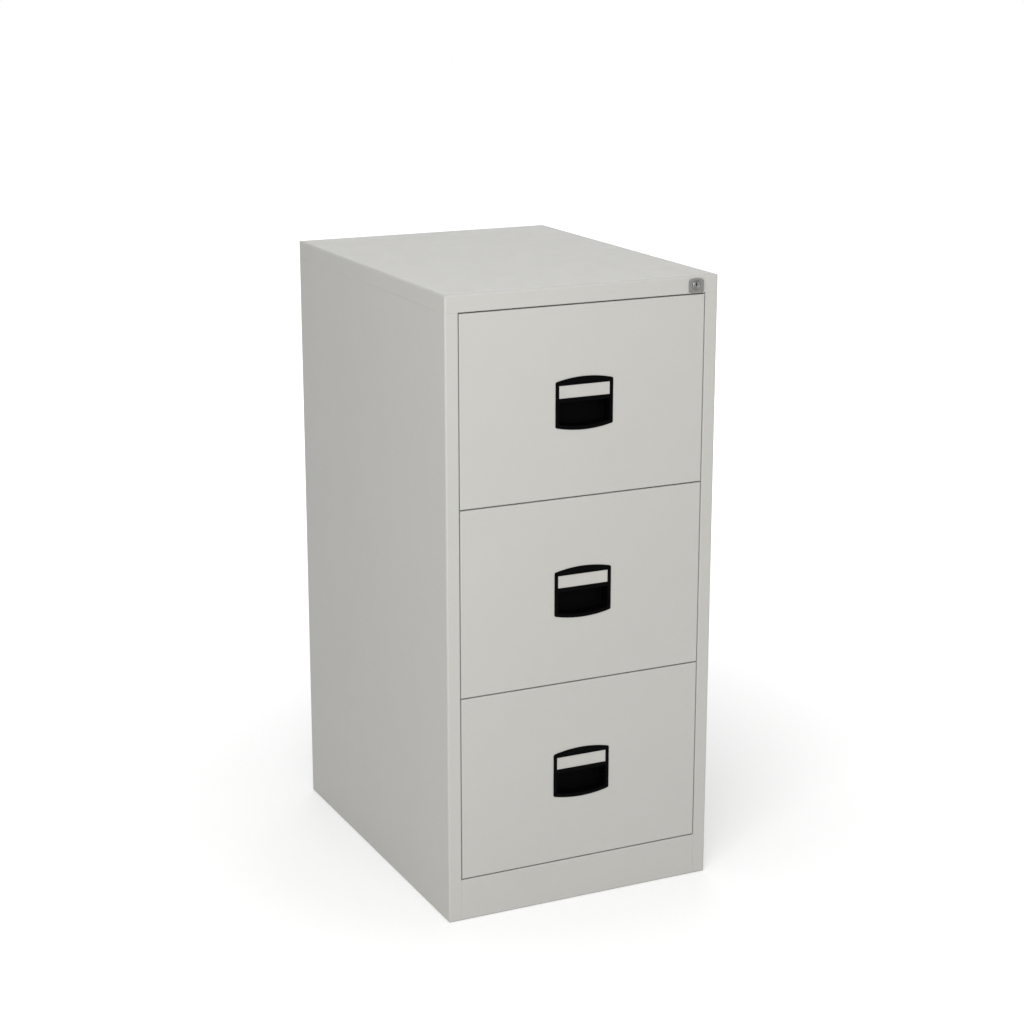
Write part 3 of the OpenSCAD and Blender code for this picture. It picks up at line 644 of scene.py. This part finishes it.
def lock_finish(name, pale, deep, metallic, rough):
    """Die-cast or plated lock metal: turning marks round the barrel's axis and a cloudy sheen."""
    material, tree, shader, where = new_material(name)
    rough_either_way = 0.07
    marks = place(tree, turning_marks, Vector=where, Middle=(LOCK_X, 0.0, LOCK_Z))["Marks"]
    cloud = place(tree, clouds, Vector=where, Size=0.006)["Cloud"]
    edge = place(tree, worn_edges, Radius=0.0005, Vector=where)["Edge"]
    worn = tuple(min(c * 1.5, 0.9) for c in pale)
    wire(tree, shader, Base_Color=mix(tree, edge, mix(tree, cloud, deep, pale), worn),
         Roughness=spread(tree, marks, rough - rough_either_way, rough + rough_either_way),
         Normal=relief(tree, marks, 0.5, 0.00001))
    shader.inputs["Metallic"].default_value = metallic
    return material


die_cast = lock_finish("lock_die_cast", (0.235, 0.235, 0.222), (0.20, 0.20, 0.19), 0.0, 0.42)
nickel = lock_finish("lock_nickel", (0.45, 0.445, 0.43), (0.39, 0.385, 0.375), 1.0, 0.38)
housing = closed_mesh("lock_plate", [plug_seat()])
housing.data.materials.append(die_cast)
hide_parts("lock_housing")
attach(housing, "carcass")
barrel = closed_mesh("lock_plug", [plug()])
barrel.data.materials.append(nickel)
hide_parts("lock_barrel")
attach(barrel, "lock_barrel")
paint(small_zinc, "lock_nut", "lock_cam", "cam_screw", "lock_bar_arm", "lock_bar_fingers")
paint(zinc_plate("zinc_lock_bar", "Z"), "lock_bar")
paint(moulded_plastic("guide_nylon", (0.72, 0.70, 0.64), 0.42), "lock_bar_guides")


# ---------------------------------------------------------------- floor, light and camera
# A plain pale floor, two broad soft lights in front and one behind, and an even white surround.
# The floor and the surround are lifted towards white only where the camera sees them directly.

def floor_plane():
    """A wide square of pale floor at the height of the feet, brighter away from the cabinet."""
    half = 14.0
    corners = [(-half, -half, 0), (half, -half, 0), (half, half, 0), (-half, half, 0)]
    mesh = bpy.data.meshes.new("floor")
    mesh.from_pydata(corners, [], [(0, 1, 2, 3)])
    plane = bpy.data.objects.new("floor", mesh)
    bpy.context.scene.collection.objects.link(plane)
    material, tree, shader, where = new_material("pale_floor")
    near, far, near_glow, far_glow = 0.4, 2.2, 0.30, 0.80
    cloud = place(tree, clouds, Vector=where, Size=0.8)["Cloud"]
    seen = tree.nodes.new("ShaderNodeLightPath").outputs["Is Camera Ray"]
    away = add(tree, "ShaderNodeVectorMath", {0: where}, operation="LENGTH").outputs["Value"]
    glow = spread(tree, away, near_glow, far_glow, near, far)
    wire(tree, shader, Base_Color=mix(tree, cloud, (0.745,) * 3, (0.755,) * 3),
         Emission_Strength=math_node(tree, "MULTIPLY", seen, glow))
    shader.inputs["Roughness"].default_value = 0.9
    shader.inputs["Specular IOR Level"].default_value = 0.0
    shader.inputs["Emission Color"].default_value = (1, 1, 1, 1)
    mesh.materials.append(material)
    return plane


floor_plane()


def soft_light(name, place_at, aim_at, size, power):
    """A square area light at a place, turned to face a point."""
    light = bpy.data.lights.new(name, "AREA")
    light.shape = "SQUARE"
    light.size = size
    light.energy = power
    lamp = bpy.data.objects.new(name, light)
    lamp.location = place_at
    x, y, z = np.array(aim_at, float) - np.array(place_at, float)
    lamp.rotation_euler = (math.atan2(math.hypot(x, y), -z), 0.0, math.atan2(y, x) - math.pi / 2)
    bpy.context.scene.collection.objects.link(lamp)


soft_light("front", (-0.6, -2.5, 2.3), (0, 0, 0.7), size=1.9, power=17)
soft_light("front_left", (-1.85, -2.4, 2.3), (0, 0, 0.7), size=1.9, power=54)
soft_light("rear", (1.6, 3.4, 2.2), (0, 0, 0.5), size=2.4, power=30)

scene = bpy.context.scene
scene.view_settings.view_transform = "Standard"
SURROUND_LIGHT, SURROUND_SEEN = 0.54, 1.0
world = bpy.data.worlds.new("studio")
scene.world = world
world.use_nodes = True
sky = world.node_tree
surround = sky.nodes["Background"]
surround.inputs["Color"].default_value = (1, 1, 1, 1)
seen = sky.nodes.new("ShaderNodeLightPath").outputs["Is Camera Ray"]
sky.links.new(spread(sky, seen, SURROUND_LIGHT, SURROUND_SEEN), surround.inputs["Strength"])

AZIMUTH, ELEVATION = math.radians(-25.47), math.radians(15.20)
DISTANCE, ACROSS, ABOVE = 3.8079, 0.02182, 0.06903
CASE_MIDDLE = np.array([0.0, 0.002, 0.508])
level = math.cos(ELEVATION)
back = np.array([math.sin(AZIMUTH) * level, -math.cos(AZIMUTH) * level, math.sin(ELEVATION)])
right = np.array([math.cos(AZIMUTH), math.sin(AZIMUTH), 0.0])
up = np.cross(back, right)
camera_data = bpy.data.cameras.new("camera")
camera_data.sensor_width = 36.0
camera_data.lens = 78.35
camera_data.clip_end = 60.0
camera = bpy.data.objects.new("camera", camera_data)
camera.location = CASE_MIDDLE + back * DISTANCE + right * ACROSS + up * ABOVE
camera.rotation_euler = (math.pi / 2 - ELEVATION, 0.0, AZIMUTH)
scene.collection.objects.link(camera)
scene.camera = camera
